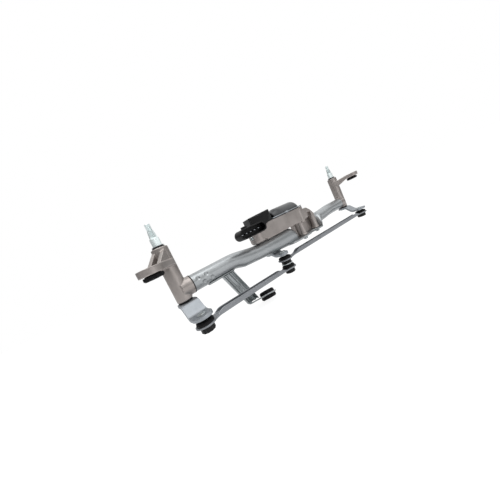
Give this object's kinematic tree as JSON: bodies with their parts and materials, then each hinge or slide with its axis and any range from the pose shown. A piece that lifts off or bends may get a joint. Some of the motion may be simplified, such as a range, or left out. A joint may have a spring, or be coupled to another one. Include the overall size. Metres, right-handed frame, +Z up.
{
  "type": "windshield wiper assembly",
  "caption": "Windshield wiper mechanism: bent tube frame with cast pivots, geared motor, crank, link rods and rubber body mounts.",
  "frame": {"origin": "centre of the left spindle's end face, where the left wiper arm is bolted on", "axes": "+Z up along both spindles, +X from the left pivot to the right pivot, -Y towards the windscreen side that the levers point to"},
  "size_m": [0.685, 0.1255, 0.235],
  "materials": {
    "casting": "sand-textured warm grey die casting",
    "zinc": "zinc-plated steel, satin",
    "bright": "bright zinc, faint lavender tint",
    "steel": "plain rolled steel",
    "bronze": "oil-filled sintered bronze",
    "rubber": "matt black rubber",
    "black_plastic": "black moulded plastic, slight sheen",
    "paint": "dark grey satin paint",
    "nylon": "natural nylon",
    "ferrite": "dark grey ferrite",
    "board": "green board laminate"
  },
  "bodies": {
    "frame": {"left_pivot_housing": "casting", "right_pivot_housing": "casting", "gearbox_housing": "casting", "left_mount_sleeve": "zinc", "right_mount_sleeve": "zinc", "strut_mount_sleeve": "zinc", "frame_tube": "zinc", "strut_bracket": "zinc", "motor_screw_front_left": "zinc", "motor_screw_front_right": "zinc", "motor_screw_rear": "zinc", "cover_screw_left": "zinc", "cover_screw_right": "zinc", "lobe_plug_screw": "zinc", "motor_clamp_frame": "bright", "connector_terminal_strip": "bright", "left_spindle_bush": "bronze", "right_spindle_bush": "bronze", "output_shaft_bush": "bronze", "armature_end_bush": "bronze", "left_shaft_seal": "rubber", "right_shaft_seal": "rubber", "left_mount_grommet": "rubber", "right_mount_grommet": "rubber", "strut_mount_grommet": "rubber", "motor_gasket": "rubber", "brush_card": "black_plastic", "gear_cover": "black_plastic", "connector_housing": "black_plastic", "motor_can": "paint", "field_magnet_front": "ferrite", "field_magnet_rear": "ferrite", "park_switch_board": "board"},
    "left_lever": {"left_spindle": "bright", "left_retaining_clip": "steel", "left_thrust_washer": "rubber", "left_lever": "bright", "left_lever_ball_stud": "zinc"},
    "right_lever": {"right_spindle": "bright", "right_retaining_clip": "steel", "right_thrust_washer": "rubber", "right_lever": "bright", "right_lever_ball_stud": "zinc"},
    "crank": {"worm_wheel": "nylon", "output_shaft": "steel", "crank_arm": "bright", "crank_nut": "zinc", "crank_ball_pin": "zinc"},
    "armature": {"armature_shaft": "steel", "armature_core": "steel"},
    "left_rod": {"left_link_rod": "steel", "left_outer_socket": "black_plastic", "left_outer_boot": "rubber", "left_inner_socket": "black_plastic", "left_inner_boot": "rubber"},
    "right_rod": {"right_link_rod": "steel", "right_outer_socket": "black_plastic", "right_outer_boot": "rubber", "right_inner_socket": "black_plastic", "right_inner_boot": "rubber"}
  },
  "joints": [
    {"name": "motor_crank_swing", "type": "hinge", "parent": "frame", "child": "crank", "pos_m": [0.237, 0.033, -0.153], "axis": [0, 0, 1], "range_deg": [-45, 45]},
    {"name": "left_spindle_swing", "type": "hinge", "parent": "frame", "child": "left_lever", "pos_m": [0, 0, -0.094], "axis": [0, 0, 1], "range_deg": [-45, 45]},
    {"name": "right_spindle_swing", "type": "hinge", "parent": "frame", "child": "right_lever", "pos_m": [0.58, 0, -0.094], "axis": [0, 0, 1], "range_deg": [-45, 45]},
    {"name": "left_rod_pin", "type": "hinge", "parent": "crank", "child": "left_rod", "pos_m": [0.239, -0.012, -0.2], "axis": [0, 0, 1], "range_deg": [-45, 45]},
    {"name": "right_rod_pin", "type": "hinge", "parent": "crank", "child": "right_rod", "pos_m": [0.239, -0.012, -0.1785], "axis": [0, 0, 1], "range_deg": [-45, 45]},
    {"name": "armature_spin", "type": "hinge", "parent": "frame", "child": "armature", "pos_m": [0.3, 0.006, -0.083], "axis": [1, 0, 0], "range_deg": [-1170, 1170]}
  ],
  "couplings": [
    {"joint": "left_spindle_swing", "follows": "motor_crank_swing", "ratio": 1},
    {"joint": "right_spindle_swing", "follows": "motor_crank_swing", "ratio": 1},
    {"joint": "left_rod_pin", "follows": "motor_crank_swing", "ratio": -1},
    {"joint": "right_rod_pin", "follows": "motor_crank_swing", "ratio": -1},
    {"joint": "armature_spin", "follows": "motor_crank_swing", "ratio": -26}
  ]
}
